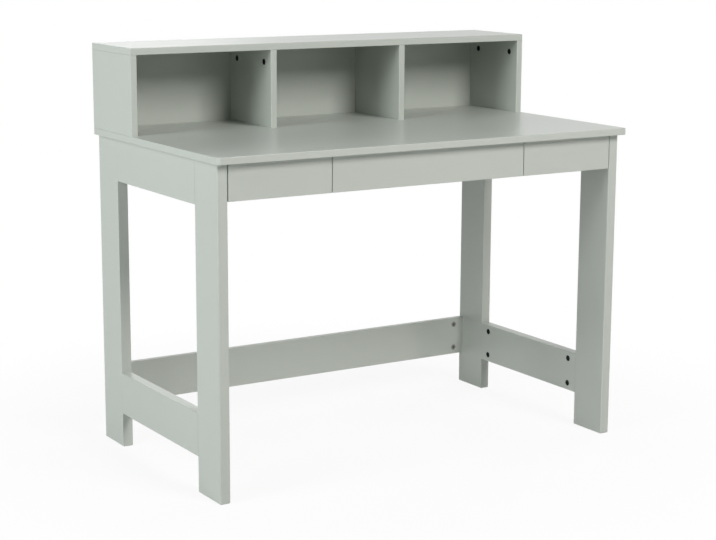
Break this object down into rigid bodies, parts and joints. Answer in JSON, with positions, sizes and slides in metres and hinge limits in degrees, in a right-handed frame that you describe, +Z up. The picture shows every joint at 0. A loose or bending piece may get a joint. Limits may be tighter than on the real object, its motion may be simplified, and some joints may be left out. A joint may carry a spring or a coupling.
{
  "type": "student desk with hutch",
  "caption": "Flat-board student desk with a wide drawer flush between false fronts, low rails, and a hutch of open bays at the rear.",
  "frame": {"origin": "on the floor under the centre of the desk's outline", "axes": "+X along the desk to the right of a person seated at it, +Y from the front to the hutch, +Z up"},
  "size_m": [1.1, 0.636, 0.96],
  "materials": {
    "lacquered_board": "satin sage lacquer",
    "lacquered_panel": "satin sage lacquer",
    "cam_zinc": "dull zinc",
    "fitting_steel": "zinc plated",
    "beech": "raw",
    "runner_steel": "white powder coat",
    "roller_nylon": "natural nylon"
  },
  "bodies": {
    "desk": {"desk_roller_axles": "fitting_steel", "desk_runner_screws": "fitting_steel", "desktop": "lacquered_board", "desktop_cam_bolts": "fitting_steel", "desktop_cams": "cam_zinc", "frame_cam_bolts": "fitting_steel", "frame_cams": "cam_zinc", "frame_dowels": "beech", "front_dowels": "beech", "hutch_back": "lacquered_panel", "hutch_back_screws": "fitting_steel", "hutch_cam_bolts": "fitting_steel", "hutch_cams": "cam_zinc", "hutch_dowels": "beech", "hutch_left_divider": "lacquered_board", "hutch_left_side": "lacquered_board", "hutch_right_divider": "lacquered_board", "hutch_right_side": "lacquered_board", "hutch_screws": "fitting_steel", "hutch_top": "lacquered_board", "left_desk_runner": "runner_steel", "left_drawer_partition": "lacquered_board", "left_false_front": "lacquered_board", "left_front_leg": "lacquered_board", "left_lower_rail": "lacquered_board", "left_rear_leg": "lacquered_board", "left_upper_rail": "lacquered_board", "partition_cam_bolts": "fitting_steel", "partition_cams": "cam_zinc", "partition_dowels": "beech", "rear_stretcher": "lacquered_board", "rear_upper_rail": "lacquered_board", "right_desk_runner": "runner_steel", "right_drawer_partition": "lacquered_board", "right_false_front": "lacquered_board", "right_front_leg": "lacquered_board", "right_lower_rail": "lacquered_board", "right_rear_leg": "lacquered_board", "right_upper_rail": "lacquered_board"},
    "drawer": {"drawer_back": "lacquered_board", "drawer_back_screws": "fitting_steel", "drawer_bottom": "lacquered_panel", "drawer_bottom_screws": "fitting_steel", "drawer_cam_bolts": "fitting_steel", "drawer_cams": "cam_zinc", "drawer_dowels": "beech", "drawer_front": "lacquered_board", "drawer_left_side": "lacquered_board", "drawer_right_side": "lacquered_board", "drawer_roller_axles": "fitting_steel", "drawer_runner_screws": "fitting_steel", "left_drawer_runner": "runner_steel", "right_drawer_runner": "runner_steel"},
    "left_desk_roller": {"left_desk_roller": "roller_nylon"},
    "right_desk_roller": {"right_desk_roller": "roller_nylon"},
    "left_drawer_roller": {"left_drawer_roller": "roller_nylon"},
    "right_drawer_roller": {"right_drawer_roller": "roller_nylon"}
  },
  "joints": [
    {"name": "drawer_slide", "type": "slide", "parent": "desk", "child": "drawer", "axis": [0, -1, 0], "range_m": [0, 0.3]},
    {"name": "left_desk_roller_spin", "type": "hinge", "parent": "desk", "child": "left_desk_roller", "pos_m": [-0.2545, -0.264, 0.6855], "axis": [1, 0, 0], "range_deg": [0, 1915]},
    {"name": "left_drawer_roller_spin", "type": "hinge", "parent": "drawer", "child": "left_drawer_roller", "pos_m": [-0.2545, 0.107, 0.6872], "axis": [1, 0, 0], "range_deg": [0, 1611]},
    {"name": "right_desk_roller_spin", "type": "hinge", "parent": "desk", "child": "right_desk_roller", "pos_m": [0.2545, -0.264, 0.6855], "axis": [1, 0, 0], "range_deg": [0, 1915]},
    {"name": "right_drawer_roller_spin", "type": "hinge", "parent": "drawer", "child": "right_drawer_roller", "pos_m": [0.2545, 0.107, 0.6872], "axis": [1, 0, 0], "range_deg": [0, 1611]}
  ],
  "couplings": [
    {"joint": "left_desk_roller_spin", "follows": "drawer_slide", "rad_per_m": 111.11},
    {"joint": "left_drawer_roller_spin", "follows": "drawer_slide", "rad_per_m": 93.458},
    {"joint": "right_desk_roller_spin", "follows": "drawer_slide", "rad_per_m": 111.11},
    {"joint": "right_drawer_roller_spin", "follows": "drawer_slide", "rad_per_m": 93.458}
  ]
}
